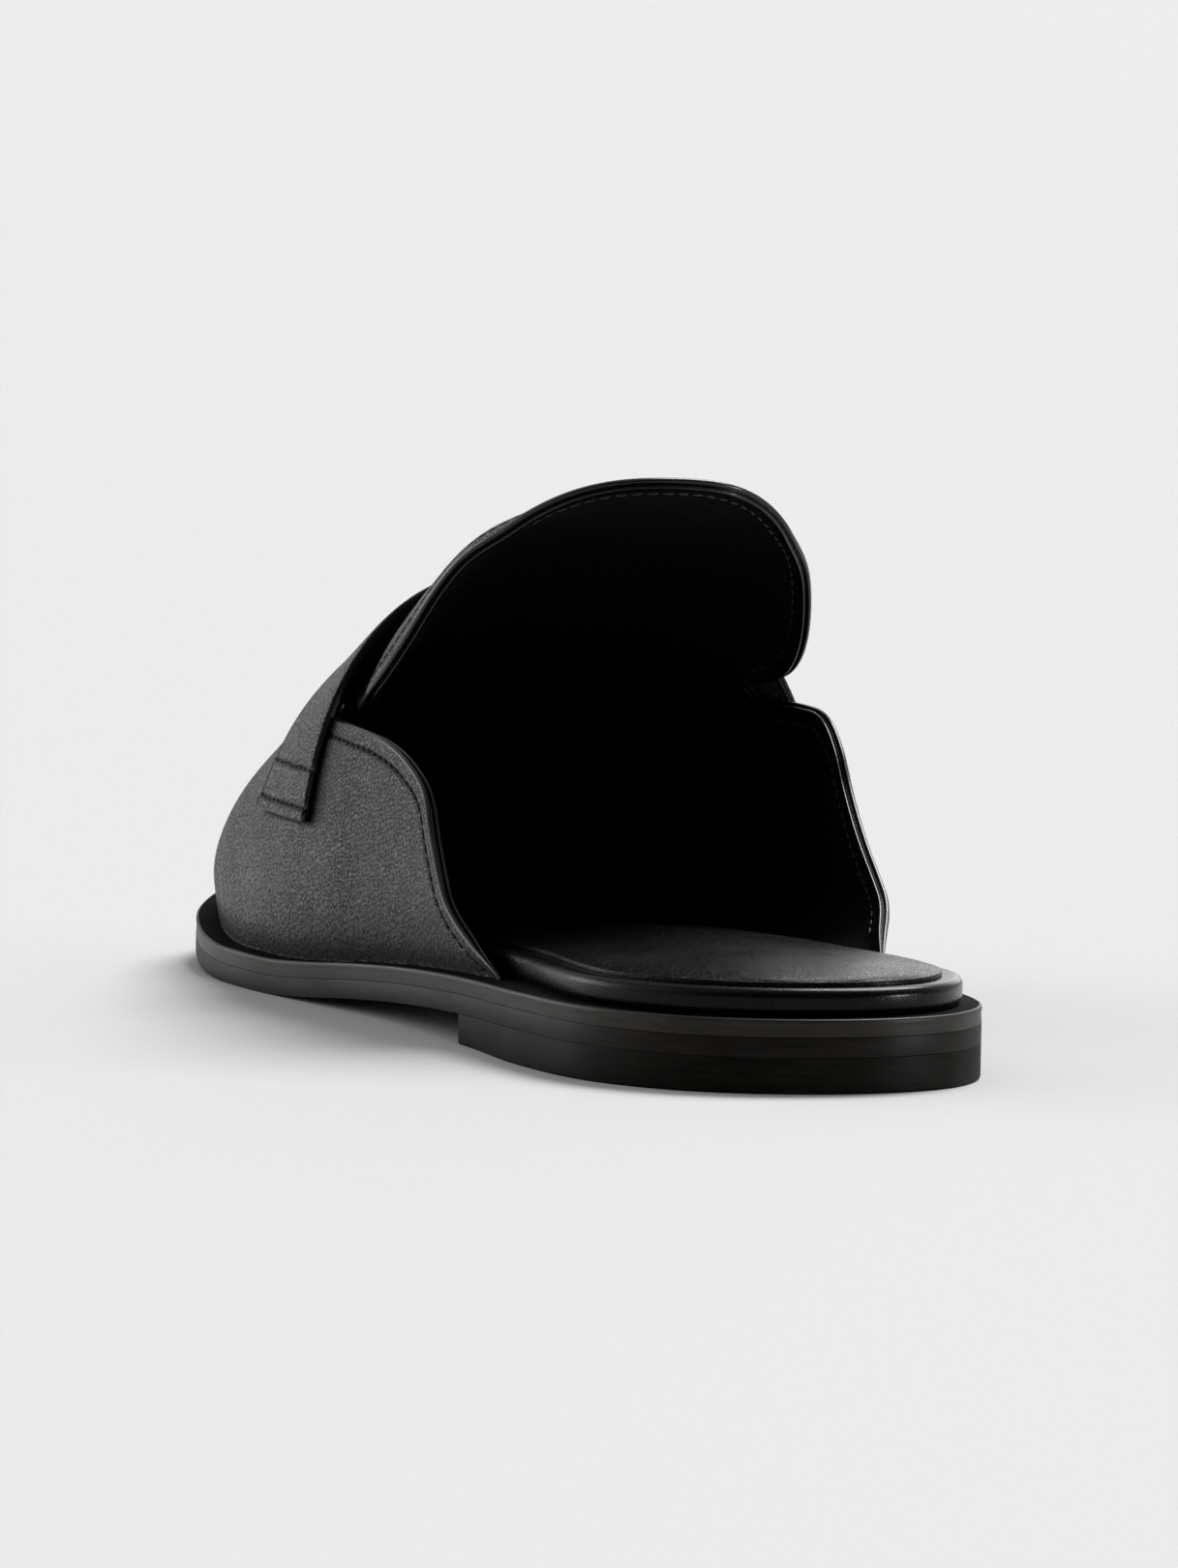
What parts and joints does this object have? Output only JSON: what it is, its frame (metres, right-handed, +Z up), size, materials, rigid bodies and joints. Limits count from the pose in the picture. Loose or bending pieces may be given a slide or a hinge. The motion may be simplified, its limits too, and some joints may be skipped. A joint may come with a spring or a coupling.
{
  "type": "loafer mule",
  "caption": "Backless leather loafer, left foot: low heel, welted sole, padded footbed rim, hollow upper with cut-away quarters, saddle strap and raised rounded tongue.",
  "frame": {"origin": "middle of the shoe's bounding box, on the floor", "axes": "+Y from the heel to the toe, +X to the inner side of the foot, +Z up"},
  "size_m": [0.0956, 0.276, 0.0912],
  "materials": {
    "heel": "satin, dark stacked heel edge",
    "outsole": "satin, dyed sole edge",
    "welt": "satin, waxed welt edge",
    "footbed": "soft sheen, leather-wrapped rim",
    "sock": "matte sock leather",
    "upper": "fine pebbled calf, soft sheen",
    "tongue": "fine pebbled calf, soft sheen",
    "strap": "fine pebbled calf, soft sheen"
  },
  "bodies": {
    "root": {"heel": "heel", "outsole": "outsole", "welt": "welt", "footbed": "footbed", "sock": "sock", "upper": "upper", "tongue": "tongue", "strap": "strap"}
  },
  "joints": []
}
